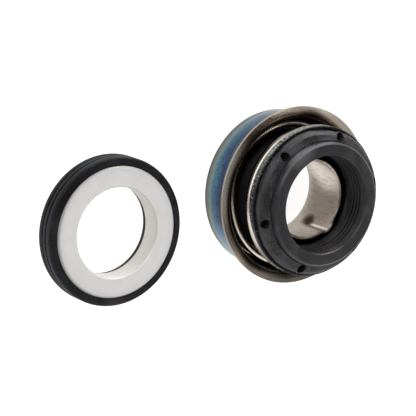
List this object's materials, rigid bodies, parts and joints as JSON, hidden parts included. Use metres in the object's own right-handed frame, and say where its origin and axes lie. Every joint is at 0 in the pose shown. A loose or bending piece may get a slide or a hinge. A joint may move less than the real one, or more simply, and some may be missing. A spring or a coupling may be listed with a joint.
{
  "type": "component mechanical seal",
  "caption": "Mechanical shaft seal in its halves: a drawn steel case with a sprung carbon face on a rubber bellows, and beside it a ceramic seat ring in a rubber cup.",
  "frame": {"origin": "on the shaft's axis, in the plane of the rear side of the case's flange, where the head seats on the pump housing", "axes": "+Z along the shaft's axis from the case to the sealing face of the head; -X towards the seat, which lies beside the head with its sealing face up; both stand on the plane 7.85 mm below the origin"},
  "size_m": [0.062, 0.031, 0.0169],
  "materials": {
    "case_steel": "satin",
    "sealing_lacquer": "gloss",
    "ring_steel": "satin",
    "spring_steel": "polished",
    "bellows_rubber": "satin",
    "retainer_steel": "satin",
    "carbon": "satin",
    "alumina": "satin",
    "cup_rubber": "satin"
  },
  "bodies": {
    "base": {"case": "case_steel", "sealant_coat": "sealing_lacquer", "spring_rest_ring": "ring_steel", "coil_spring": "spring_steel", "bellows": "bellows_rubber", "mating_ring": "alumina", "cup_gasket": "cup_rubber"},
    "face": {"retainer": "retainer_steel", "primary_ring": "carbon"}
  },
  "joints": [
    {"name": "face_slide", "type": "slide", "parent": "base", "child": "face", "axis": [0, 0, 1], "range_m": [-0.003, 0], "stiffness_N_per_m": 5000, "deforming": ["coil_spring", "bellows"]}
  ]
}
